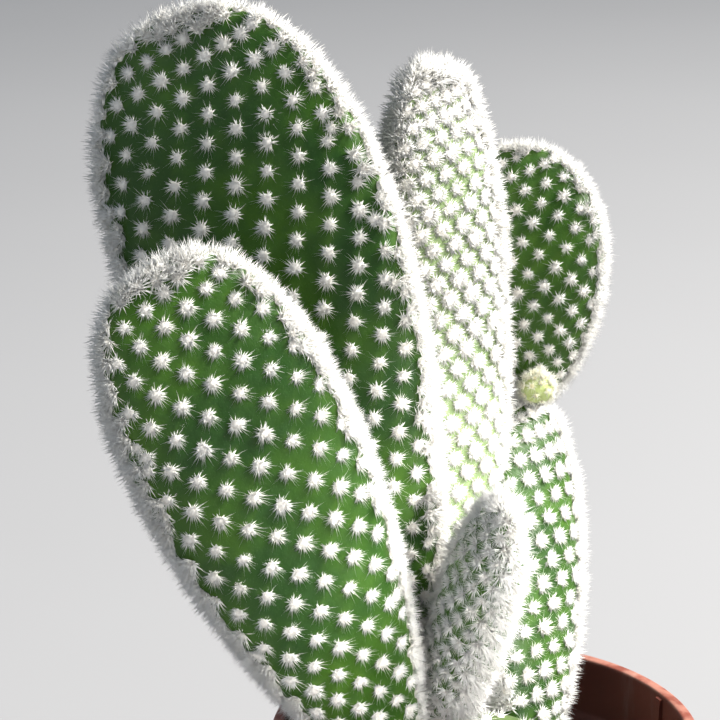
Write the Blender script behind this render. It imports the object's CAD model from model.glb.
# %% [markdown]
# # A potted bunny ears cactus
#
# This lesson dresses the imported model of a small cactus: flat pads dotted with tufts of
# fine white bristles, growing out of gritty soil in a round plastic pot. The packed
# model gives the true sizes and places, so it is loaded first and never changed. Each
# of its plain nodes is then hidden behind a finer piece that keeps the same form.

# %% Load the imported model
import math
import random
from dataclasses import dataclass

import bpy
import numpy as np
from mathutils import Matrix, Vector, noise
from mathutils.bvhtree import BVHTree
from mathutils.kdtree import KDTree


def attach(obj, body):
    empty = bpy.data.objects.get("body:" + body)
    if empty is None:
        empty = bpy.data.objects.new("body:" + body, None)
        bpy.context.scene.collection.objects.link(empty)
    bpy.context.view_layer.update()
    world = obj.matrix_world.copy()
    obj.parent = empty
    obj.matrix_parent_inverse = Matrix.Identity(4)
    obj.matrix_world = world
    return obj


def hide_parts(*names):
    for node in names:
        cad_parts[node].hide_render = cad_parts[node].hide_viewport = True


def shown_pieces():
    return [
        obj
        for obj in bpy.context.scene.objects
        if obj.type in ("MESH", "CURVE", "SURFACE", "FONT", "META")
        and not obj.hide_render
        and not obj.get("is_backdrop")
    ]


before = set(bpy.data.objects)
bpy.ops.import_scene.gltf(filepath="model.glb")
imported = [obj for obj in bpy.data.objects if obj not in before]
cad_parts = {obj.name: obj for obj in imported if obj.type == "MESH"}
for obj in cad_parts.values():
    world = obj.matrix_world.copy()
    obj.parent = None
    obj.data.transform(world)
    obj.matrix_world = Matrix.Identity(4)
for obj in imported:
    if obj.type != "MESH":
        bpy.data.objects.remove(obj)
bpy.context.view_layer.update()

MM = 0.001
print("packed nodes:", sorted(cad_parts))

# %% [markdown]
# The camera comes first, so that every later step can be looked at. The plant was seen
# from a little above, through a long lens from about half a metre away, and the pot
# runs out of the picture at the bottom. A 36 mm sensor with a lens of 118.75 mm gives
# that narrow view.

# %% Camera
CAMERA_PLACE = (-26.3 * MM, -455.6 * MM, 300.1 * MM)
CAMERA_TILT_DOWN = math.radians(17)
CAMERA_LENS = 118.75
SENSOR_WIDTH = 36

bpy.ops.object.camera_add(location=CAMERA_PLACE, rotation=(math.pi / 2 - CAMERA_TILT_DOWN, 0, 0))
camera = bpy.context.object
camera.name = "camera"
camera.data.lens = CAMERA_LENS
camera.data.sensor_width = SENSOR_WIDTH
camera.data.dof.use_dof = False
bpy.context.scene.camera = camera
print("camera at", tuple(camera.location))

# %% [markdown]
# Blender's operators act on all that is selected, and the loaded nodes come in
# selected. These helpers clear the selection before each new piece, and read and write
# a mesh's points as one array, which is far quicker than a loop when a mesh has
# hundreds of thousands of points.

# %% Helpers for pieces
def start_piece():
    if bpy.context.mode != "OBJECT":
        bpy.ops.object.mode_set(mode="OBJECT")
    bpy.ops.object.select_all(action="DESELECT")


def select_only(piece):
    start_piece()
    piece.select_set(True)
    bpy.context.view_layer.objects.active = piece


def name_piece(name):
    """Name the object that an operator just added, and its mesh."""
    piece = bpy.context.object
    piece.name = name
    piece.data.name = name
    return piece


def points_of(piece):
    points = np.empty(3 * len(piece.data.vertices))
    piece.data.vertices.foreach_get("co", points)
    return points.reshape(-1, 3)


def move_points(piece, points):
    piece.data.vertices.foreach_set("co", np.ascontiguousarray(points).ravel())
    piece.data.update()


def turn_faces_outwards(piece):
    select_only(piece)
    bpy.ops.object.mode_set(mode="EDIT")
    bpy.ops.mesh.select_all(action="SELECT")
    bpy.ops.mesh.normals_make_consistent(inside=False)
    bpy.ops.object.mode_set(mode="OBJECT")


def write_on_points(piece, name, values):
    """Keep one number for each point, which a material can read by its name."""
    attribute = piece.data.attributes.new(name, "FLOAT", "POINT")
    attribute.data.foreach_set("value", np.asarray(values, dtype=np.float32))


def triangles_of(piece):
    piece.data.calc_loop_triangles()
    return len(piece.data.loop_triangles)


def stand_in_for(piece, node):
    """Tie a finished piece to the plant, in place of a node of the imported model."""
    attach(piece, "root")
    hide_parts(node)
    print(piece.name, "stands for", node, "with", triangles_of(piece), "triangles")


# %% [markdown]
# ## The shape of a pad
#
# A pad is a flattened stem that starts narrow at its foot, widens and ends round. It
# could be sculpted, but a formula lets the skin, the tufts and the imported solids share
# exactly one shape. u runs from 0 at the foot to 1 at the tip, and phi once round the
# section, which is a little fuller than an ellipse. The numbers are those of the packed
# model.

# %% Pad shape
SECTION_FULLNESS = 0.8
THICKNESS_FOOT_TAPER = 0.45
THICKNESS_TIP_TAPER = 0.5
SURFACE_STEP = 0.0005


def unit(vectors):
    lengths = np.linalg.norm(vectors, axis=-1, keepdims=True)
    return vectors / np.maximum(lengths, 1e-12)


class PadShape:
    """A smooth pad. faces gives the way its flat face looks, in degrees: turned from
    the front towards the right, and tilted up. sweep bends it sideways, bow forwards."""

    def __init__(self, foot, tip, faces, width, thickness, foot_taper, tip_taper,
                 sweep=0.0, bow=0.0):
        self.foot = np.array(foot)
        reach = np.array(tip) - self.foot
        self.length = float(np.linalg.norm(reach))
        self.along = reach / self.length
        turn, tilt = np.radians(faces)
        face = np.array([math.sin(turn) * math.cos(tilt), -math.cos(turn) * math.cos(tilt),
                         math.sin(tilt)])
        self.face = unit(face - self.along * face.dot(self.along))
        self.side = np.cross(self.along, self.face)
        self.width, self.thickness = width * MM, thickness * MM
        self.foot_taper, self.tip_taper = foot_taper, tip_taper
        self.sweep, self.bow = sweep * MM, bow * MM

    def outline(self, u, foot_taper, tip_taper):
        """1 at the widest place, 0 at both ends."""
        widest = foot_taper / (foot_taper + tip_taper)
        peak = widest ** foot_taper * (1 - widest) ** tip_taper
        return u ** foot_taper * (1 - u) ** tip_taper / peak

    def surface(self, u, phi):
        u = np.clip(u, 0, 1)
        half_width = self.width / 2 * self.outline(u, self.foot_taper, self.tip_taper)
        half_thickness = self.thickness / 2 * self.outline(u, THICKNESS_FOOT_TAPER,
                                                           THICKNESS_TIP_TAPER)
        across = np.sign(np.cos(phi)) * np.abs(np.cos(phi)) ** SECTION_FULLNESS
        outward = np.sign(np.sin(phi)) * np.abs(np.sin(phi)) ** SECTION_FULLNESS
        bend = 4 * u * (1 - u)
        x = half_width * across + self.sweep * bend
        y = half_thickness * outward + self.bow * bend
        return (self.foot + x[..., None] * self.side + y[..., None] * self.face
                + (u * self.length)[..., None] * self.along)

    def directions(self, u, phi):
        """Unit vectors on the skin: outward, towards the tip, and round the pad."""
        u = np.clip(u, 2 * SURFACE_STEP, 1 - 2 * SURFACE_STEP)
        tipward = self.surface(u + SURFACE_STEP, phi) - self.surface(u - SURFACE_STEP, phi)
        round_it = self.surface(u, phi + SURFACE_STEP) - self.surface(u, phi - SURFACE_STEP)
        outward = unit(np.cross(tipward, round_it))
        tipward = unit(tipward)
        return outward, tipward, np.cross(outward, tipward)


# %% [markdown]
# ## Where the tufts stand
#
# The tufts stand on spiral rows, as the scales of a pine cone do. Each tuft is turned
# by the same part of a turn from the one below it. That one number makes the rows: the
# golden turn suits a narrow pad, and a smaller one gives the nearly level rows of the
# broad pads. Towards the narrow tip and along the thin margins the rows draw closer.
# The tufts are counted up the pad by the area that each one has.

# %% Tuft places
HONEYCOMB = math.sqrt(3) / 2
GOLDEN_TURN = 0.38197
LEVEL_TURN = 0.2335
TALL_PAD_TURN = 0.2374
TIP_CROWDING = 0.45
EDGE_CROWDING = 0.8
FIRST_TUFT = 0.03
LAST_TUFT = 0.9995
PAD_LEVELS = 400
LEVEL_STEPS = 361
END_ANGLE = 0.002
chance = random.Random(20)


def tuft_places(shape, spacing, turn):
    """u and phi of each tuft."""
    u = (1 - np.cos(np.linspace(END_ANGLE, math.pi - END_ANGLE, PAD_LEVELS))) / 2
    phi = np.linspace(0, 2 * math.pi, LEVEL_STEPS)
    grid_u, grid_phi = np.meshgrid(u, phi, indexing="ij")
    steps = np.linalg.norm(np.diff(shape.surface(grid_u, grid_phi), axis=1), axis=2)
    steps = steps * (1 + EDGE_CROWDING * np.abs(np.cos((phi[1:] + phi[:-1]) / 2)) ** 4)
    girth = steps.sum(axis=1)
    turned = np.cumsum(steps, axis=1) / girth[:, None]
    turned = np.hstack([np.zeros((len(u), 1)), turned])
    crest = shape.surface(u, np.full_like(u, math.pi / 2))
    strides = np.linalg.norm(np.diff(crest, axis=0), axis=1)
    strides = np.append(strides, strides[-1])

    local_spacing = spacing * (girth / girth.max()) ** TIP_CROWDING
    number = np.cumsum(girth * strides / (HONEYCOMB * local_spacing ** 2))
    first, last = np.interp([FIRST_TUFT, LAST_TUFT], u, number)
    index = np.arange(int(last - first))
    place_u = np.interp(first + index + 0.5, number, u)
    place_phi = np.array([np.interp(part, turned[np.searchsorted(u, at)], phi)
                          for at, part in zip(place_u, index * turn % 1.0)])
    return place_u, place_phi


# %% [markdown]
# Rows alone leave the thin margins and the rounded tip too bare: there the tufts of the
# real plant stand so close that they make a white rim. Extra tufts are thrown at the
# margins at random, and two of every nine at the tip. One stays where no other tuft is
# nearer than the room wanted.

# %% Tufts of the rim
RIM_SPREAD = 0.2
RIM_FOOT = 0.05
RIM_STARTS, RIM_FULL = 0.80, 0.93
TIP_SPREAD = 0.02
THROWS = 3400
ROUND_OF_THROWS, TIP_THROWS = 9, 2


def smooth_part(value, low, high):
    part = np.clip((value - low) / (high - low), 0, 1)
    return part * part * (3 - 2 * part)


def rim_part(u, phi):
    """0 on the faces, 1 along the margins and on the rounded tip."""
    margin = smooth_part(np.abs(np.cos(phi)), RIM_STARTS, RIM_FULL)
    return np.maximum(margin, smooth_part(u, 1 - 2 * TIP_SPREAD, 1 - TIP_SPREAD / 2))


def with_rim_tufts(shape, u, phi, room):
    places = list(shape.surface(u, phi))
    u, phi = list(u), list(phi)
    for number in range(THROWS):
        margin = math.pi * (number % 2)
        thrown_u = RIM_FOOT + (1 - RIM_FOOT) * chance.random()
        thrown_phi = margin + chance.gauss(0, RIM_SPREAD)
        if number % ROUND_OF_THROWS < TIP_THROWS:
            thrown_u = 1 - TIP_SPREAD * chance.random()
            thrown_phi = 2 * math.pi * chance.random()
        thrown = shape.surface(np.array(thrown_u), np.array(thrown_phi))
        if np.linalg.norm(np.array(places) - thrown, axis=1).min() > room:
            places.append(thrown)
            u.append(thrown_u)
            phi.append(thrown_phi)
    return np.array(u), np.array(phi)


# %% [markdown]
# ## The pads of this plant
#
# Each pad's foot, tip, way it faces and size in millimetres are those of the packed
# model. The tufts stand closer here, because every tuft of the real plant is shown. The
# other numbers give the grid of the skin, how far apart the tufts are, how long their
# bristles are, how many a tuft has, how thick its core and its cushion are, and how
# much room a rim tuft needs. growth is 1 on the middle pad, which is still growing and
# has the whitest wool.

# %% Pads
@dataclass
class Pad:
    shape: PadShape
    grid: tuple
    spacing: float
    bristle: float
    bristles: int
    turn: float = LEVEL_TURN
    core: float = 1.0
    cushion: float = 1.3
    rim_room: float = 2.0
    skin: str = "pad_skin"
    growth: float = 0.0


PADS = {
    "old_pad": Pad(PadShape((-0.003, 0.002, 0.047), (-0.001, 0.002, 0.082), (0, 0), 46, 20,
                            foot_taper=0.5, tip_taper=0.5),
                   (40, 26), 9.5, bristle=2.5, bristles=36, rim_room=5, skin="old_skin"),
    "left_back_pad": Pad(PadShape((-0.0103, 0.005, 0.073), (-0.0620, 0.013, 0.2288),
                                  (-12, 8), 58.3, 15.4, foot_taper=1.0, tip_taper=0.44, sweep=-1),
                         (80, 110), 6.6, turn=TALL_PAD_TURN, bristle=3.3, bristles=76, core=1.2),
    "middle_pad": Pad(PadShape((-0.005, 0.007, 0.074), (-0.0113, 0.034, 0.2142), (32, 0),
                               26, 14.5, foot_taper=0.8, tip_taper=0.36, sweep=3.8, bow=-4),
                      (48, 96), 4.8, bristle=3.7, bristles=112, core=2.0, cushion=1.7,
                      growth=1.0),
    "left_front_pad": Pad(PadShape((-0.0158, -0.007, 0.068), (-0.0644, -0.030, 0.1882),
                                   (12, 10), 43, 15.4, foot_taper=0.78, tip_taper=0.38),
                          (72, 96), 6.6, bristle=3.3, bristles=92, core=1.2),
    "right_stem_pad": Pad(PadShape((0.0098, 0.007, 0.066), (0.0106, 0.041, 0.139), (30, 0),
                                   25.6, 13, foot_taper=0.62, tip_taper=0.46, sweep=-0.6),
                          (44, 54), 5.3, bristle=3.4, bristles=90, core=1.5, cushion=1.3),
    "right_top_pad": Pad(PadShape((0.0134, 0.041, 0.138), (0.0066, 0.046, 0.1948), (-8, 0),
                                  32.4, 12.4, foot_taper=0.77, tip_taper=0.45, sweep=1.2),
                         (48, 44), 4.95, bristle=2.7, bristles=66, core=1.0, cushion=0.95,
                         rim_room=1.8),
    "young_pad": Pad(PadShape((-0.009, -0.001, 0.078), (0.0024, -0.018, 0.1362), (-64, 0),
                              17, 14.2, foot_taper=0.72, tip_taper=0.42, sweep=-1),
                     (32, 40), 4.4, turn=GOLDEN_TURN, bristle=3.9, bristles=110, core=0.9,
                     cushion=0.7, rim_room=5, skin="young_skin"),
    "new_bud": Pad(PadShape((0.0115, 0.036, 0.141), (0.0125, 0.033, 0.1475), (0, 0), 7.5, 7.5,
                            foot_taper=0.5, tip_taper=0.5),
                   (24, 16), 3.0, turn=GOLDEN_TURN, bristle=1.9, bristles=60, core=0.5,
                   cushion=0.55, skin="bud_skin"),
}

for name, pad in PADS.items():
    row_u, row_phi = tuft_places(pad.shape, pad.spacing * MM, pad.turn)
    pad.tuft_u, pad.tuft_phi = with_rim_tufts(pad.shape, row_u, row_phi, pad.rim_room * MM)
    print(name, "is", round(pad.shape.length / MM), "mm long and has", len(row_u),
          "tufts in rows and", len(pad.tuft_u) - len(row_u), "more at its rim")

# %% [markdown]
# ## The skin of the pads
#
# The skin is one closed sheet: taut between the tufts, with a shallow pit where each
# tuft sits, and gently uneven all over. A sphere primitive already has rings that close
# at two poles, so its rings are laid over the pad's shape from foot to tip, and each
# point is then pushed in or out along the skin's own direction. Three numbers are kept on
# the points for the material: how near the next tuft is, how far up the pad it is, and
# how freshly the pad has grown.

# %% Skins
PIT_DEPTH = 0.35 * MM
PIT_RADIUS = 1.5 * MM
PIT_HALO = 2.6 * MM
UNEVEN_DEPTH = 0.5 * MM
UNEVEN_SIZE = 22 * MM


def lay_skin(name, pad):
    start_piece()
    around, up = pad.grid
    bpy.ops.mesh.primitive_uv_sphere_add(segments=around, ring_count=up, radius=1)
    skin = name_piece(name + "_skin")
    ball = points_of(skin)
    u = np.clip((ball[:, 2] + 1) / 2, 0, 1)
    phi = np.arctan2(ball[:, 1], ball[:, 0])
    points = pad.shape.surface(u, phi)
    outward = pad.shape.directions(u, phi)[0]
    outward[u < SURFACE_STEP] = -pad.shape.along
    outward[u > 1 - SURFACE_STEP] = pad.shape.along

    roots = pad.shape.surface(pad.tuft_u, pad.tuft_phi)
    nearest_tuft = KDTree(len(roots))
    for number, root in enumerate(roots):
        nearest_tuft.insert(root, number)
    nearest_tuft.balance()
    away = np.array([nearest_tuft.find(point)[2] for point in points])
    uneven = np.array([noise.noise(Vector(point) / UNEVEN_SIZE) for point in points])
    rise = UNEVEN_DEPTH * uneven - PIT_DEPTH * np.exp(-(away / PIT_RADIUS) ** 2)
    rise[(u < SURFACE_STEP) | (u > 1 - SURFACE_STEP)] = 0
    move_points(skin, points + rise[:, None] * outward)
    write_on_points(skin, "tuft_halo", np.exp(-(away / PIT_HALO) ** 2))
    write_on_points(skin, "up_the_pad", u)
    write_on_points(skin, "growth", np.full(len(u), pad.growth))
    turn_faces_outwards(skin)
    bpy.ops.object.shade_smooth()
    return skin


skins = {}
for name, pad in PADS.items():
    skins[name] = lay_skin(name, pad)
    stand_in_for(skins[name], name)

# %% [markdown]
# ## One bristle, then one tuft
#
# A bristle is a stiff straight needle far thinner than a hair on your arm. With some two
# hundred thousand of them each can have only four faces, so one is modelled: a cone
# with three sides, its point up and its root at the origin. A tuft sits on a small
# cushion of felt, a flattened ball with few faces.

# %% Bristle and cushion
CUSHION_FLATNESS = 0.6

start_piece()
bpy.ops.mesh.primitive_cone_add(vertices=3, radius1=1, radius2=0, depth=1, location=(0, 0, 0.5))
bristle = name_piece("bristle_model")
bpy.ops.object.transform_apply(location=True, rotation=True, scale=True)

start_piece()
bpy.ops.mesh.primitive_ico_sphere_add(subdivisions=1, radius=1)
cushion = name_piece("cushion_model")
bpy.ops.object.mode_set(mode="EDIT")
bpy.ops.mesh.select_all(action="SELECT")
bpy.ops.transform.resize(value=(MM, MM, CUSHION_FLATNESS * MM), center_override=(0, 0, 0))
bpy.ops.object.mode_set(mode="OBJECT")


def triangles_and_points(piece):
    piece.data.calc_loop_triangles()
    corners = np.empty(3 * len(piece.data.loop_triangles), dtype=np.int32)
    piece.data.loop_triangles.foreach_get("vertices", corners)
    return corners.reshape(-1, 3), points_of(piece)


bristle_faces, bristle_points = triangles_and_points(bristle)
cushion_faces, cushion_points = triangles_and_points(cushion)
for model in (bristle, cushion):
    bpy.data.objects.remove(model, do_unlink=True)
print("a bristle has", len(bristle_faces), "faces and a cushion", len(cushion_faces))

# %% [markdown]
# A real tuft is a little brush. Short bristles stand so close together in its middle
# that thick cones can stand for several of them at once, medium ones lean out all
# round, and a few long fine ones spread low over the skin, more of them on the side
# away from the pad's tip. At the rim the whole brush stands more upright. Each group is
# a row in these tables: share of the bristles, lean from the skin's direction in
# degrees, length as a part of the full length, radius at the root, and how far the root
# is from the middle.

# %% Tufts
FACE_BRISTLES = [
    (0.20, (0, 45), (0.38, 0.56), 0.17 * MM, 0.80 * MM),
    (0.60, (36, 78), (0.48, 0.68), 0.15 * MM, 0.44 * MM),
    (0.20, (40, 76), (0.82, 1.20), 0.05 * MM, 0.40 * MM),
]
RIM_BRISTLES = [
    (0.34, (0, 60), (0.55, 0.85), 0.19 * MM, 0.60 * MM),
    (0.48, (5, 62), (0.84, 1.20), 0.12 * MM, 0.65 * MM),
    (0.18, (20, 80), (1.05, 1.36), 0.055 * MM, 0.50 * MM),
]
THICK_BRISTLE = 0.1 * MM
TUFT_KINDS = 14
ROOT_DEPTH = 0.08 * MM
GOLDEN_ANGLE = math.pi * (3 - math.sqrt(5))
AROUND_CHANCE = 0.5
DROOPING_LEAN = 40
DROOPING_SHARE = 0.45


def bristle_plan(groups, count, length, core):
    """The points of each bristle of one tuft that grows along +Z, with +X tipwards."""
    needles = []
    for share, leans, lengths, radius, spread in groups:
        if radius > THICK_BRISTLE:
            radius, spread = core * radius, core * spread
        for number in range(round(share * count)):
            around = number * GOLDEN_ANGLE + chance.uniform(-AROUND_CHANCE, AROUND_CHANCE)
            lean = math.radians(chance.uniform(*leans))
            reach = length * chance.uniform(*lengths)
            tipwards = leans[0] >= DROOPING_LEAN and math.cos(around) > 0
            if tipwards and chance.random() < DROOPING_SHARE:
                around += math.pi
            spread_now = spread * math.sqrt(chance.random())
            way = Vector((math.sin(lean) * math.cos(around), math.sin(lean) * math.sin(around),
                          math.cos(lean)))
            turn = np.array(way.to_track_quat("Z", "Y").to_matrix())
            needle = bristle_points * (radius, radius, reach)
            root = np.array((spread_now * math.cos(around), spread_now * math.sin(around),
                             -ROOT_DEPTH))
            needles.append(needle @ turn.T + root)
    return np.array(needles)


def tuft_kinds(groups, count, pad):
    return [bristle_plan(groups, count, pad.bristle * MM, pad.core)
            for _ in range(TUFT_KINDS)]


# %% [markdown]
# ## Planting the tufts
#
# The tufts on each side of a pad become one piece, because single objects for some
# three thousand tufts would be slow to handle. Each tuft takes one of the kinds, is
# turned by chance, leans a little, and is copied to its place with its own points. On
# the growing pad the tufts near the foot are smaller. A tuft is left out where its root
# is inside a neighbour or nearly touches it, and so is a single bristle that would end
# inside one.

# %% Plant tufts
ROOT_ROOM = 0.9 * MM
NEIGHBOUR_REACH = 5 * MM
TUFT_LEAN = math.radians(9)
TUFT_LEANS = (0.5, 0.6)
TUFT_TURN = 0.5
TUFT_SIZES = (0.88, 1.1)
TONE_SPREAD = 0.25
FOOT_SHRINK = 0.25
FOOT_PART = (0.1, 0.6)
BACK_SHARE = 0.62
UPWARD = Vector((0, 0, 1))


def about_z(angle):
    """The matrix that turns points by an angle about the Z axis."""
    return np.array([[math.cos(angle), -math.sin(angle), 0],
                     [math.sin(angle), math.cos(angle), 0], [0, 0, 1]])


def is_inside(tree, point):
    """Whether the first face straight above shows its back to the point."""
    hit, normal, _, _ = tree.ray_cast(point, UPWARD)
    return hit is not None and normal.z > 0


def room_for(root, others):
    """Whether a tuft has room, and which neighbours it might poke into."""
    close = []
    for tree in others:
        distance = tree.find_nearest(root)[3]
        if distance < ROOT_ROOM or is_inside(tree, root):
            return False, close
        if distance < NEIGHBOUR_REACH:
            close.append(tree)
    return True, close


def mesh_piece(name, points, faces):
    """A mesh of triangles, written straight from arrays."""
    mesh = bpy.data.meshes.new(name)
    mesh.vertices.add(len(points))
    mesh.vertices.foreach_set("co", points.astype(np.float32).ravel())
    mesh.loops.add(3 * len(faces))
    mesh.loops.foreach_set("vertex_index", faces.astype(np.int32).ravel())
    mesh.polygons.add(len(faces))
    mesh.polygons.foreach_set("loop_start", np.arange(0, 3 * len(faces), 3, dtype=np.int32))
    mesh.update(calc_edges=True)
    mesh.validate()
    piece = bpy.data.objects.new(name, mesh)
    bpy.context.scene.collection.objects.link(piece)
    return piece


def plant_tufts(name, pad, bristle_count, others, chosen):
    face_kinds = tuft_kinds(FACE_BRISTLES, bristle_count, pad)
    rim_kinds = tuft_kinds(RIM_BRISTLES, bristle_count, pad)
    u, phi = pad.tuft_u[chosen], pad.tuft_phi[chosen]
    at_rim = rim_part(u, phi) > 0.5
    wool = 1 - FOOT_SHRINK * pad.growth * (1 - smooth_part(u, *FOOT_PART))
    roots = pad.shape.surface(u, phi)
    outward, tipward, sideways = pad.shape.directions(u, phi)
    all_points, all_faces, all_rise, all_tone = [], [], [], []
    count = 0
    bristle_rise = np.clip(bristle_points[:, 2], 0, 1)
    for index, root in enumerate(roots):
        has_room, close = room_for(Vector(root), others)
        if not has_room:
            continue
        frame_of_tuft = np.array([tipward[index], sideways[index], outward[index]])
        lean = chance.gauss(*TUFT_LEANS) * TUFT_LEAN
        tilt = np.array([[math.cos(lean), 0, math.sin(lean)], [0, 1, 0],
                         [-math.sin(lean), 0, math.cos(lean)]])
        turn = about_z(chance.gauss(0, TUFT_TURN))
        size = wool[index] * chance.uniform(*TUFT_SIZES)
        seat = root - PIT_DEPTH * outward[index]
        kind = chance.choice(rim_kinds if at_rim[index] else face_kinds)
        needles = size * kind @ turn.T @ tilt.T @ frame_of_tuft + seat
        if close:
            keep = [not any(is_inside(tree, Vector(needle[-1])) for tree in close)
                    for needle in needles]
            needles = needles[keep]
        tone = chance.random()
        ball = size * pad.cushion * cushion_points @ frame_of_tuft + seat
        all_points += [needles.reshape(-1, 3), ball]
        starts = count + 4 * np.arange(len(needles))
        all_faces.append((bristle_faces[None] + starts[:, None, None]).reshape(-1, 3))
        count += 4 * len(needles)
        all_faces.append(cushion_faces + count)
        count += len(ball)
        all_rise += [np.tile(bristle_rise, len(needles)), np.zeros(len(ball))]
        all_tone += [np.repeat([tone + chance.gauss(0, TONE_SPREAD) for _ in needles], 4),
                     np.full(len(ball), tone)]
    piece = mesh_piece(name, np.vstack(all_points), np.vstack(all_faces))
    write_on_points(piece, "up_the_bristle", np.concatenate(all_rise))
    write_on_points(piece, "tone", np.concatenate(all_tone))
    piece.data.shade_smooth()
    return piece


bpy.context.view_layer.update()
depsgraph = bpy.context.evaluated_depsgraph_get()
skin_trees = {name: BVHTree.FromObject(skin, depsgraph) for name, skin in skins.items()}
ground_trees = [BVHTree.FromObject(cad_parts[name], depsgraph) for name in ("pot", "soil")]
bristles = {}
for name, pad in PADS.items():
    others = [tree for other, tree in skin_trees.items() if other != name] + ground_trees
    on_face = np.sin(pad.tuft_phi) >= 0
    for side, share, chosen in (("face", 1, on_face), ("back", BACK_SHARE, ~on_face)):
        count = round(share * pad.bristles)
        piece = plant_tufts(f"{name}_{side}_bristles", pad, count, others, chosen)
        bristles[piece.name] = piece
        stand_in_for(piece, name)

# %% [markdown]
# ## The pot
#
# The pot is moulded plastic: a tapered wall, a wider band at the rim, a rounded lip, a
# ledge inside and small ribs in the band. Any round thing is quickest to make from its
# outline. One point is drawn along the outline with extrude, and the line is spun once
# round. The spin is turned back by half a step, so that a face, and not an edge, looks
# in each direction where a rib has to stand.

# %% Turned outline
POT_HEIGHT = 80 * MM
RIM_RADIUS = 45 * MM
LIP_WIDTH = 2.8 * MM
LIP_ROUNDING = 0.9 * MM
BAND_FOOT = 67 * MM
RIM_STEP = 1.6 * MM
STEP_SLOPE = 1.2 * MM
FOOT_RADIUS = 31 * MM
RECESS_RADIUS = 27 * MM
RECESS_DEPTH = 0.8 * MM
WALL = 1.6 * MM
FLOOR = 2.0 * MM
POT_STEPS = 144


def inner_radius(height):
    """The pot's inside radius below the ledge."""
    ledge = BAND_FOOT - STEP_SLOPE
    top = RIM_RADIUS - LIP_WIDTH - RIM_STEP
    bottom = FOOT_RADIUS - WALL
    return bottom + (top - bottom) * (height - FLOOR) / (ledge - FLOOR)


def rounded(corner, before, after, radius, count=5):
    """Points of a rounding that takes the place of a corner of an outline."""
    corner, before, after = (np.array(point) for point in (corner, before, after))
    start = corner + radius * unit(before - corner)
    end = corner + radius * unit(after - corner)
    parts = np.linspace(0, 1, count)[:, None]
    curve = (1 - parts) ** 2 * start + 2 * parts * (1 - parts) * corner + parts ** 2 * end
    return [tuple(point) for point in curve]


def rounded_outline(corners):
    """Corners are (radius, height, rounding). The first and last stay sharp."""
    places = [corner[:2] for corner in corners]
    outline = [places[0]]
    for number in range(1, len(corners) - 1):
        rounding = corners[number][2]
        if rounding:
            outline += rounded(places[number], places[number - 1], places[number + 1], rounding)
        else:
            outline.append(places[number])
    return outline + [places[-1]]


def turn_outline(name, outline, steps):
    start_piece()
    bpy.ops.mesh.primitive_plane_add(size=MM, location=(0, 0, 0))
    body = name_piece(name)
    bpy.ops.object.mode_set(mode="EDIT")
    bpy.ops.mesh.select_mode(type="VERT")
    bpy.ops.mesh.merge(type="CENTER")
    radius, height = outline[0]
    bpy.ops.transform.translate(value=(radius, 0, height))
    for here, there in zip(outline, outline[1:]):
        move = (there[0] - here[0], 0, there[1] - here[1])
        bpy.ops.mesh.extrude_region_move(TRANSFORM_OT_translate={"value": move})
    bpy.ops.mesh.select_all(action="SELECT")
    bpy.ops.transform.rotate(value=math.pi / steps, orient_axis="Z", center_override=(0, 0, 0))
    bpy.ops.mesh.spin(steps=steps, angle=2 * math.pi, center=(0, 0, 0), axis=(0, 0, 1))
    bpy.ops.mesh.select_all(action="SELECT")
    bpy.ops.mesh.remove_doubles(threshold=0.01 * MM)
    bpy.ops.mesh.normals_make_consistent(inside=False)
    bpy.ops.object.mode_set(mode="OBJECT")
    return body


# %% Pot body
INSIDE_LIP = RIM_RADIUS - LIP_WIDTH
LEDGE = BAND_FOOT - STEP_SLOPE
pot_outline = rounded_outline([
    (0, FLOOR, 0),
    (inner_radius(FLOOR), FLOOR, 2 * MM),
    (inner_radius(LEDGE), LEDGE, 0.5 * MM),
    (INSIDE_LIP, BAND_FOOT, 0.5 * MM),
    (INSIDE_LIP, POT_HEIGHT, LIP_ROUNDING),
    (RIM_RADIUS, POT_HEIGHT, LIP_ROUNDING),
    (RIM_RADIUS - WALL / 4, BAND_FOOT, 0.5 * MM),
    (inner_radius(LEDGE) + WALL, BAND_FOOT - WALL / 2, 0.5 * MM),
    (FOOT_RADIUS, 0, 1.0 * MM),
    (RECESS_RADIUS, 0, 0.4 * MM),
    (RECESS_RADIUS - 0.6 * MM, RECESS_DEPTH, 0.3 * MM),
    (0, RECESS_DEPTH, 0),
])
pot = turn_outline("pot_shell", pot_outline, POT_STEPS)
print("the pot's outline has", len(pot_outline), "points")

# %% [markdown]
# The ribs inside the rim keep stacked pots apart. They are part of the same moulding,
# so the face columns where they stand are picked by their direction and extruded
# inwards, which keeps the pot one closed skin. The drain holes go right through the
# floor, and a Boolean cut with six joined cylinders is the simplest way to make those.

# %% Ribs and drain holes
RIB_COUNT = 8
RIB_DEPTH = 0.8 * MM
DRAIN_COUNT = 6
DRAIN_RADIUS = 2 * MM
DRAIN_CIRCLE_RADIUS = 19 * MM


def is_rib_face(face):
    centre = face.center
    on_band = BAND_FOOT + 0.5 * MM < centre.z < POT_HEIGHT - 1.2 * MM
    inside = abs(math.hypot(centre.x, centre.y) - INSIDE_LIP) < 0.1 * MM
    eighths = math.atan2(centre.y, centre.x) / (2 * math.pi) * RIB_COUNT
    return on_band and inside and abs(eighths % 1 - 0.5) < 0.01


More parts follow.
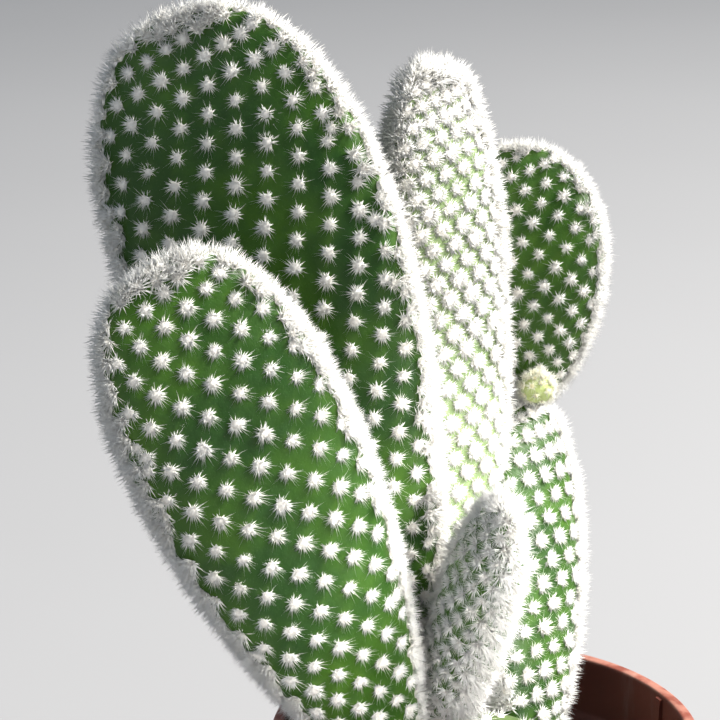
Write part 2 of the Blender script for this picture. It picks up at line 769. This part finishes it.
select_only(pot)
bpy.ops.object.mode_set(mode="EDIT")
bpy.ops.mesh.select_mode(type="FACE")
bpy.ops.mesh.select_all(action="DESELECT")
bpy.ops.object.mode_set(mode="OBJECT")
for face in pot.data.polygons:
    face.select = is_rib_face(face)
print("rib faces:", sum(face.select for face in pot.data.polygons))
bpy.ops.object.mode_set(mode="EDIT")
bpy.ops.mesh.extrude_region_shrink_fatten(TRANSFORM_OT_shrink_fatten={"value": RIB_DEPTH})
bpy.ops.object.mode_set(mode="OBJECT")

start_piece()
drains = []
for number in range(DRAIN_COUNT):
    angle = 2 * math.pi * number / DRAIN_COUNT
    bpy.ops.mesh.primitive_cylinder_add(
        vertices=24, radius=DRAIN_RADIUS, depth=3 * FLOOR,
        location=(DRAIN_CIRCLE_RADIUS * math.cos(angle), DRAIN_CIRCLE_RADIUS * math.sin(angle),
                  FLOOR / 2))
    drains.append(name_piece(f"drain_{number}"))
for drain in drains:
    drain.select_set(True)
bpy.ops.object.join()
drill = name_piece("drain_drill")
select_only(pot)
cut = pot.modifiers.new("drains", "BOOLEAN")
cut.operation = "DIFFERENCE"
cut.object = drill
bpy.ops.object.modifier_apply(modifier=cut.name)
bpy.data.objects.remove(drill, do_unlink=True)
bpy.ops.object.shade_smooth_by_angle(angle=math.radians(35))
stand_in_for(pot, "pot")

# %% [markdown]
# ## The soil
#
# Potting mix for a cactus is mostly grit. The soil itself is a low dome spun like the
# pot, then made lumpy with a Displace modifier that reads a cloud texture. On it lie
# separate grains. A few stones are modelled from the simplest icosphere, each with its
# corners pulled about, and a thousand small copies are strewn over the dome.

# %% Soil body
SOIL_EDGE_HEIGHT = 62.5 * MM
SOIL_DOME = 2.0 * MM
SOIL_EDGE_GAP = 0.3 * MM
SOIL_RINGS = 30
SOIL_STEPS = 96
CLOD_SIZE = 5 * MM
CLOD_HEIGHT = 3 * MM
soil_edge = inner_radius(SOIL_EDGE_HEIGHT) - SOIL_EDGE_GAP
soil_foot = FLOOR + SOIL_EDGE_GAP
soil_outline = [(soil_edge * part, SOIL_EDGE_HEIGHT + SOIL_DOME * (1 - part ** 2))
                for part in np.linspace(0, 1, SOIL_RINGS)]
soil_outline += [(inner_radius(soil_foot) - 3 * SOIL_EDGE_GAP, soil_foot), (0, soil_foot)]
soil = turn_outline("soil_bed", soil_outline, SOIL_STEPS)
lumpy_points = soil.vertex_groups.new(name="lumpy")
for vertex in soil.data.vertices:
    if vertex.co.z > SOIL_EDGE_HEIGHT - MM:
        edge_distance = soil_edge - math.hypot(vertex.co.x, vertex.co.y)
        lumpy_points.add([vertex.index], min(1, edge_distance / (2 * MM)), "REPLACE")
clods = bpy.data.textures.new("clods", "CLOUDS")
clods.noise_scale = CLOD_SIZE
clods.noise_depth = 3
lumps = soil.modifiers.new("lumps", "DISPLACE")
lumps.texture = clods
lumps.texture_coords = "LOCAL"
lumps.direction = "Z"
lumps.vertex_group = lumpy_points.name
lumps.strength = CLOD_HEIGHT
lumps.mid_level = 0.5
select_only(soil)
bpy.ops.object.modifier_apply(modifier=lumps.name)
bpy.ops.object.shade_smooth()
stand_in_for(soil, "soil")

# %% Grit
GRAIN_COUNT = 1000
SMALLEST_GRAIN, LARGEST_GRAIN = 0.45, 2.1
GRAIN_FALL_OFF = 2.2
STONE_KINDS = 8


def stone_model(number):
    start_piece()
    bpy.ops.mesh.primitive_ico_sphere_add(subdivisions=1, radius=1)
    stone = name_piece(f"stone_model_{number}")
    faces, points = triangles_and_points(stone)
    bpy.data.objects.remove(stone, do_unlink=True)
    squash = np.array([chance.uniform(0.7, 1.2), chance.uniform(0.7, 1.1), chance.uniform(0.5, 0.8)])
    pulls = np.array([chance.uniform(0.78, 1.15) for _ in points])
    return faces, points * squash * pulls[:, None]


stones = [stone_model(number) for number in range(STONE_KINDS)]
bpy.context.view_layer.update()
soil_tree = BVHTree.FromObject(soil, bpy.context.evaluated_depsgraph_get())
grain_points, grain_faces, grain_tone = [], [], []
count = 0
for number in range(GRAIN_COUNT):
    size = MM * min(LARGEST_GRAIN, SMALLEST_GRAIN + chance.expovariate(GRAIN_FALL_OFF))
    radius = (soil_edge - size) * math.sqrt(chance.random())
    angle = chance.uniform(0, 2 * math.pi)
    above = Vector((radius * math.cos(angle), radius * math.sin(angle), POT_HEIGHT))
    ground = soil_tree.ray_cast(above, Vector((0, 0, -1)))[0]
    faces, points = stones[number % STONE_KINDS]
    spin = Vector((chance.gauss(0, 0.3), chance.gauss(0, 0.3), 1)).to_track_quat("Z", "Y")
    turn = np.array(spin.to_matrix()) @ about_z(chance.uniform(0, 2 * math.pi))
    place = np.array(ground) + (0, 0, 0.2 * size)
    grain_points.append(size * points @ turn.T + place)
    grain_faces.append(faces + count)
    grain_tone.append(np.full(len(points), chance.random()))
    count += len(points)
grit = mesh_piece("soil_grit", np.vstack(grain_points), np.vstack(grain_faces))
write_on_points(grit, "tone", np.concatenate(grain_tone))
stand_in_for(grit, "soil")

# %% [markdown]
# ## A short way to write materials
#
# A material is a graph of nodes. Drawing that graph in code takes many lines, so one
# small class wraps the output of a node and lets Python's own signs add Math nodes:
# 1 - mask is a Subtract node. A second class adds every other node by its type, its
# settings and its inputs.

# %% Material helpers
class Signal:
    """The output of a node, with the signs of arithmetic."""

    def __init__(self, finish, socket):
        self.finish = finish
        self.socket = socket

    def maths(self, operation, first, second):
        return self.finish.node("ShaderNodeMath", {"operation": operation}, {0: first, 1: second})

    def __add__(self, other):
        return self.maths("ADD", self, other)

    def __radd__(self, other):
        return self.maths("ADD", other, self)

    def __sub__(self, other):
        return self.maths("SUBTRACT", self, other)

    def __rsub__(self, other):
        return self.maths("SUBTRACT", other, self)

    def __mul__(self, other):
        return self.maths("MULTIPLY", self, other)

    def __rmul__(self, other):
        return self.maths("MULTIPLY", other, self)


class Finish:
    """A material that grows node by node. place is the point in the object's metres."""

    def __init__(self, name):
        self.material = bpy.data.materials.new(name)
        self.material.use_nodes = True
        self.nodes = self.material.node_tree.nodes
        self.links = self.material.node_tree.links
        self.shader = self.nodes["Principled BSDF"]
        self.place = self.node("ShaderNodeTexCoord", output="Object")

    def node(self, kind, settings=None, inputs=None, output=0):
        made = self.nodes.new(kind)
        for name, value in (settings or {}).items():
            if name == "stops":
                self.set_stops(made.color_ramp, value)
            else:
                setattr(made, name, value)
        for name, value in (inputs or {}).items():
            if isinstance(value, Signal):
                self.links.new(value.socket, made.inputs[name])
            else:
                made.inputs[name].default_value = value
        return Signal(self, made.outputs[output])

    def set_stops(self, ramp, stops):
        while len(ramp.elements) < len(stops):
            ramp.elements.new(1)
        for element, (position, colour) in zip(ramp.elements, stops):
            element.position = position
            element.color = (*colour, 1)

    def noise(self, size, detail=3.0, roughness=0.5, place=None):
        """Cloudy variation whose patches are about size across."""
        return self.node("ShaderNodeTexNoise", {}, {
            "Vector": place or self.place, "Scale": 1 / size, "Detail": detail,
            "Roughness": roughness}, "Fac")

    def cells(self, size, feature="F1"):
        """The distance from the centre of a cell about size across, or from its edge."""
        return self.node("ShaderNodeTexVoronoi", {"feature": feature},
                         {"Vector": self.place, "Scale": 1 / size}, "Distance")

    def stretched(self, scale, turn=(0, 0, 0)):
        """The place, stretched along the axes where scale is below 1."""
        return self.node("ShaderNodeMapping", {}, {"Vector": self.place, "Scale": scale,
                                                   "Rotation": turn})

    def attribute(self, name):
        return self.node("ShaderNodeAttribute", {"attribute_name": name}, {}, "Fac")

    def step(self, value, low, high):
        """0 below low and 1 above high, smooth between them."""
        return self.node("ShaderNodeMapRange", {"interpolation_type": "SMOOTHSTEP"}, {
            "Value": value, "From Min": low, "From Max": high})

    def mix(self, part, first, second):
        """Colours that go from the first to the second as part goes from 0 to 1."""
        colours = [(*colour, 1) if isinstance(colour, tuple) else colour
                   for colour in (first, second)]
        return self.node("ShaderNodeMix", {"data_type": "RGBA"},
                         {0: part, 6: colours[0], 7: colours[1]}, 2)

    def set(self, **values):
        """Link or set the shader's own sockets, named with _ for a space."""
        for name, value in values.items():
            socket = self.shader.inputs[name.replace("_", " ")]
            if isinstance(value, Signal):
                self.links.new(value.socket, socket)
            else:
                socket.default_value = value

    def relief(self, height, depth, below=None):
        """Bump of the given depth in metres, on top of another bump."""
        inputs = {"Height": height, "Distance": depth, "Strength": 1.0}
        if below:
            inputs["Normal"] = below
        return self.node("ShaderNodeBump", {}, inputs)


def coat_with(piece, finish):
    piece.data.materials.clear()
    piece.data.materials.append(finish.material)


# %% [markdown]
# ## The skin's finish
#
# The skin is a deep satin green. It is yellower where it is young or thin, bluer where
# a film of wax lies on it, and paler right round each tuft. Near the foot it turns to
# grey-brown cork. Breathing pores make fine pale dots. The large patches are a cloudy
# noise, the dots are the centres of Voronoi cells, and the ring round each tuft, the
# cork and the pale growth read the three numbers that were kept on the skin's points.

# %% Skin finish
def skin_finish(name, deep, fresh, waxy, cork_height, cork_share=1.0):
    green = Finish(name)
    halo = green.attribute("tuft_halo")
    up = green.attribute("up_the_pad")
    patches = green.noise(18 * MM, detail=2)
    mottle = green.noise(3.5 * MM, detail=4, roughness=0.6)
    film = green.step(green.noise(9 * MM, detail=5, roughness=0.65), 0.48, 0.72)
    colour = green.mix(green.step(patches, 0.35, 0.68), deep, fresh)
    colour = green.mix(green.step(mottle, 0.42, 0.7) * 0.35, colour, waxy)
    colour = green.mix(film * 0.30, colour, waxy)
    tip_glow = green.step(up, 0.75, 1.0) * 0.25
    colour = green.mix(tip_glow, colour, fresh)
    growing = green.attribute("growth") * (0.45 + 0.3 * green.step(patches, 0.3, 0.6))
    colour = green.mix(growing, colour, (0.38, 0.49, 0.24))
    pores = 1 - green.step(green.cells(0.55 * MM), 0.10, 0.26)
    colour = green.mix(pores * 0.12, colour, (0.16, 0.25, 0.09))
    ring = green.step(halo, 0.35, 0.95)
    colour = green.mix(ring * 0.25, colour, (0.13, 0.24, 0.03))
    flecks = green.step(green.noise(5 * MM, detail=6, roughness=0.75), 0.66, 0.72)
    colour = green.mix(flecks * 0.5, colour, (0.20, 0.19, 0.09))
    ragged = green.noise(6 * MM, detail=5, roughness=0.7)
    cork = (1 - green.step(up + (ragged - 0.5) * 0.35 * cork_height, 0.35 * cork_height,
                           cork_height)) * cork_share
    cork_colour = green.mix(ragged, (0.16, 0.12, 0.07), (0.30, 0.24, 0.15))
    colour = green.mix(cork, colour, cork_colour)
    grain = green.noise(0.7 * MM, detail=3, roughness=0.6)
    roughness = 0.40 + film * 0.16 + grain * 0.10 + cork * 0.3
    swell = green.relief(mottle, 0.25 * MM)
    fine = green.relief(grain - pores * 0.4, 0.06 * MM, swell)
    cracks = green.cells(2.2 * MM, "DISTANCE_TO_EDGE")
    cracked = green.relief((1 - green.step(cracks, 0.0, 0.12)) * cork, -0.25 * MM, fine)
    green.set(Base_Color=colour, Roughness=roughness, Normal=cracked, Coat_Weight=0.05,
              Coat_Roughness=0.35, Specular_IOR_Level=0.30)
    return green


pad_green = skin_finish("pad_skin", (0.011, 0.053, 0.002), (0.042, 0.118, 0.003),
                        (0.026, 0.082, 0.016), 0.10)
old_green = skin_finish("old_skin", (0.06, 0.11, 0.03), (0.11, 0.15, 0.05),
                        (0.12, 0.16, 0.09), 0.75, 0.9)
young_green = skin_finish("young_skin", (0.040, 0.110, 0.018), (0.085, 0.18, 0.028),
                          (0.075, 0.145, 0.060), 0.05)
bud_green = skin_finish("bud_skin", (0.34, 0.42, 0.12), (0.50, 0.56, 0.22),
                        (0.52, 0.58, 0.34), 0.02)
greens = {"pad_skin": pad_green, "old_skin": old_green, "young_skin": young_green,
          "bud_skin": bud_green}
for name, skin in skins.items():
    coat_with(skin, greens[PADS[name].skin])
print("skin materials:", len(greens))

# %% [markdown]
# ## The bristles' finish
#
# The bristles are white with a breath of cream at the root, and no two tufts are quite
# the same tone. The colour follows the number kept along each bristle, so it needs no
# picture and turns with nothing.

# %% Bristle finish
def bristle_finish(name, root_colour, body_colour, tip_colour):
    white = Finish(name)
    up = white.attribute("up_the_bristle")
    tone = white.attribute("tone")
    colour = white.mix(white.step(up, 0.0, 0.22), root_colour, body_colour)
    colour = white.mix(white.step(up, 0.3, 1.0), colour, tip_colour)
    patchy = white.noise(6 * MM, detail=3)
    colour = white.mix(white.step(tone, 0.2, 1.3) * 0.5 + patchy * 0.12, colour,
                       (0.86, 0.83, 0.75))
    fuzz = white.noise(0.35 * MM, detail=3, roughness=0.6)
    gaps = (1 - white.step(fuzz, 0.34, 0.52)) * (1 - white.step(up, 0.0, 0.5))
    colour = white.mix(gaps * 0.35, colour, (0.55, 0.56, 0.50))
    white.set(Base_Color=colour, Roughness=0.38 + 0.2 * patchy, Specular_IOR_Level=0.5,
              Normal=white.relief(fuzz, 0.2 * MM))
    return white


white_bristles = bristle_finish("white_bristles", (0.90, 0.86, 0.80), (0.93, 0.92, 0.88),
                                (0.96, 0.96, 0.95))
cream_bristles = bristle_finish("cream_bristles", (0.72, 0.66, 0.36), (0.88, 0.87, 0.68),
                                (0.94, 0.94, 0.86))
for name, piece in bristles.items():
    coat_with(piece, cream_bristles if name.startswith("new_bud") else white_bristles)

# %% [markdown]
# ## The pot's finish
#
# The pot is terracotta-coloured plastic: even and slightly glossy when new, here a
# little dull from use. Hard water has left pale stains under the rim and at the foot,
# the outside has fine scratches, and the inside, found by its distance from the axis, is
# darkened by damp soil. The stains are masks of the height times a ragged noise.

# %% Pot finish
def pot_finish():
    clay = Finish("terracotta_plastic")
    height = clay.node("ShaderNodeSeparateXYZ", {}, {0: clay.place}, "Z")
    clouds = clay.noise(14 * MM, detail=3)
    colour = clay.mix(clay.step(clouds, 0.3, 0.7), (0.25, 0.066, 0.042), (0.34, 0.098, 0.064))
    ragged = clay.noise(7 * MM, detail=7, roughness=0.7)
    runs = clay.noise(5 * MM, detail=5, roughness=0.65, place=clay.stretched((1, 1, 0.18)))
    foot = (1 - clay.step(height, 4 * MM, 26 * MM)) * clay.step(ragged, 0.42, 0.66)
    under_rim = clay.step(height, 44 * MM, 66 * MM) * clay.step(runs, 0.52, 0.74)
    lime = foot * 0.55 + under_rim * 0.35
    colour = clay.mix(lime, colour, (0.52, 0.40, 0.34))
    scratches = clay.noise(0.9 * MM, detail=2, place=clay.stretched((0.5, 0.5, 12), (0.25, 0.1, 0)))
    scuffs = clay.step(scratches, 0.70, 0.78) * clay.step(ragged, 0.45, 0.6)
    colour = clay.mix(scuffs * 0.35, colour, (0.68, 0.40, 0.31))
    on_lip = clay.step(height, 79.2 * MM, 79.8 * MM)
    wear = on_lip * clay.step(clay.noise(4 * MM, detail=5), 0.40, 0.62)
    colour = clay.mix(wear * 0.4, colour, (0.66, 0.36, 0.27))
    near_soil = (1 - clay.step(height, 64 * MM, 70 * MM)) * clay.step(height, 61 * MM, 64 * MM)
    dust = near_soil * clay.step(ragged, 0.40, 0.6)
    colour = clay.mix(dust * 0.35, colour, (0.20, 0.13, 0.09))
    from_axis = clay.node("ShaderNodeVectorMath", {"operation": "LENGTH"},
                          {0: clay.node("ShaderNodeVectorMath", {"operation": "MULTIPLY"},
                                        {0: clay.place, 1: (1, 1, 0)})}, "Value")
    inside = 1 - clay.step(from_axis, INSIDE_LIP + 0.1 * MM, INSIDE_LIP + 0.5 * MM)
    colour = clay.mix(inside * (0.5 + 0.3 * ragged), colour, (0.035, 0.007, 0.004))
    grain = clay.noise(0.5 * MM, detail=3, roughness=0.6)
    roughness = 0.44 + 0.12 * grain + lime * 0.25 + dust * 0.2
    skin = clay.relief(clouds, 0.15 * MM)
    fine = clay.relief(grain + scuffs * 0.8, 0.03 * MM, skin)
    clay.set(Base_Color=colour, Roughness=roughness, Normal=fine, Specular_IOR_Level=0.5)
    return clay


coat_with(pot, pot_finish())

# %% [markdown]
# ## The soil's finish
#
# Dry potting mix is dark peat with pale grit. The bed reads a fine noise for its
# crumbs. Every grain has one number of its own, and a ramp turns that number into
# peat, brown stone, grey stone or pale pumice.

# %% Soil finish
def soil_finish():
    earth = Finish("potting_mix")
    crumbs = earth.noise(1.6 * MM, detail=6, roughness=0.7)
    clumps = earth.noise(9 * MM, detail=3)
    colour = earth.mix(earth.step(crumbs, 0.35, 0.68), (0.030, 0.018, 0.012),
                       (0.115, 0.075, 0.048))
    colour = earth.mix(earth.step(clumps, 0.45, 0.7) * 0.5, colour, (0.15, 0.105, 0.07))
    specks = 1 - earth.step(earth.cells(1.1 * MM), 0.12, 0.22)
    colour = earth.mix(specks * 0.6, colour, (0.42, 0.36, 0.28))
    relief = earth.relief(crumbs + specks * 0.3, 0.9 * MM)
    earth.set(Base_Color=colour, Roughness=0.86 + 0.1 * crumbs, Normal=relief,
              Specular_IOR_Level=0.25)
    return earth


def grit_finish():
    stone = Finish("grit")
    tone = stone.attribute("tone")
    speckle = stone.noise(0.6 * MM, detail=4, roughness=0.7)
    colour = stone.node("ShaderNodeValToRGB", {"stops": [
        (0.0, (0.035, 0.022, 0.015)), (0.40, (0.10, 0.065, 0.04)), (0.62, (0.22, 0.16, 0.11)),
        (0.80, (0.36, 0.32, 0.27)), (1.0, (0.62, 0.58, 0.50))]},
        {"Fac": tone + (speckle - 0.5) * 0.35}, "Color")
    relief = stone.relief(speckle, 0.35 * MM)
    stone.set(Base_Color=colour, Roughness=0.75 + 0.2 * speckle, Normal=relief,
              Specular_IOR_Level=0.3)
    return stone


coat_with(soil, soil_finish())
coat_with(grit, grit_finish())

# %% [markdown]
# ## Floor and light
#
# The stage is a plain pale floor. The main light is a soft panel high on the right, so
# the bristles on the right margins shine and the faces turn gently into shade. A weak
# cool panel on the left and a dim even sky keep the shadows open. A narrow lamp from
# the front right reaches the woolly young pad, which the others would leave in shade.

# %% Stage
start_piece()
bpy.ops.mesh.primitive_plane_add(size=12, location=(0, 3, 0))
floor = name_piece("floor")
bpy.ops.object.transform_apply(location=True, rotation=True, scale=True)
floor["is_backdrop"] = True
paper = Finish("pale_floor")
paper_tone = paper.noise(0.4, detail=2)
paper.set(Base_Color=paper.mix(paper_tone, (0.36, 0.36, 0.365), (0.39, 0.39, 0.395)),
          Roughness=0.85, Specular_IOR_Level=0.2)
coat_with(floor, paper)


def aim(lamp, target):
    way = Vector(target) - lamp.location
    lamp.rotation_euler = way.to_track_quat("-Z", "Y").to_euler()


def add_panel(name, place, target, size, power, colour):
    start_piece()
    bpy.ops.object.light_add(type="AREA", location=place)
    panel = bpy.context.object
    panel.name = name
    panel.data.shape = "DISK"
    panel.data.size = size
    panel.data.energy = power
    panel.data.color = colour
    aim(panel, target)


PLANT_MIDDLE = (-0.02, 0.0, 0.13)
add_panel("key_panel", (1.75, -0.25, 1.85), PLANT_MIDDLE, 0.85, 176, (1.0, 0.97, 0.93))
add_panel("fill_panel", (-0.9, -0.9, 0.7), PLANT_MIDDLE, 0.9, 2.5, (0.86, 0.92, 1.0))

start_piece()
YOUNG_PAD_MIDDLE = (0.004, -0.016, 0.124)
LOW_LAMP_PLACE = (0.66, -0.94, 0.42)
LOW_LAMP_POWER = 260
LOW_LAMP_CONE = math.radians(2.8)
bpy.ops.object.light_add(type="SPOT", location=LOW_LAMP_PLACE)
low_lamp = name_piece("low_lamp")
low_lamp.data.energy = LOW_LAMP_POWER
low_lamp.data.spot_size = LOW_LAMP_CONE
low_lamp.data.spot_blend = 0.85
low_lamp.data.shadow_soft_size = 0.04
low_lamp.data.color = (1.0, 0.98, 0.95)
aim(low_lamp, YOUNG_PAD_MIDDLE)

world = bpy.data.worlds.new("soft_sky")
world.use_nodes = True
sky = world.node_tree.nodes["Background"].inputs
sky["Color"].default_value = (0.70, 0.83, 1.0, 1)
sky["Strength"].default_value = 0.27
bpy.context.scene.world = world
bpy.context.scene.view_settings.view_transform = "Standard"

# %% [markdown]
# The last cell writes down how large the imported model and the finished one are, so that
# the two can be compared, and hands the scene over.

# %% Sizes and finish
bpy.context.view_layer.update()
print("triangles in all:", sum(triangles_of(piece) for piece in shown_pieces()))
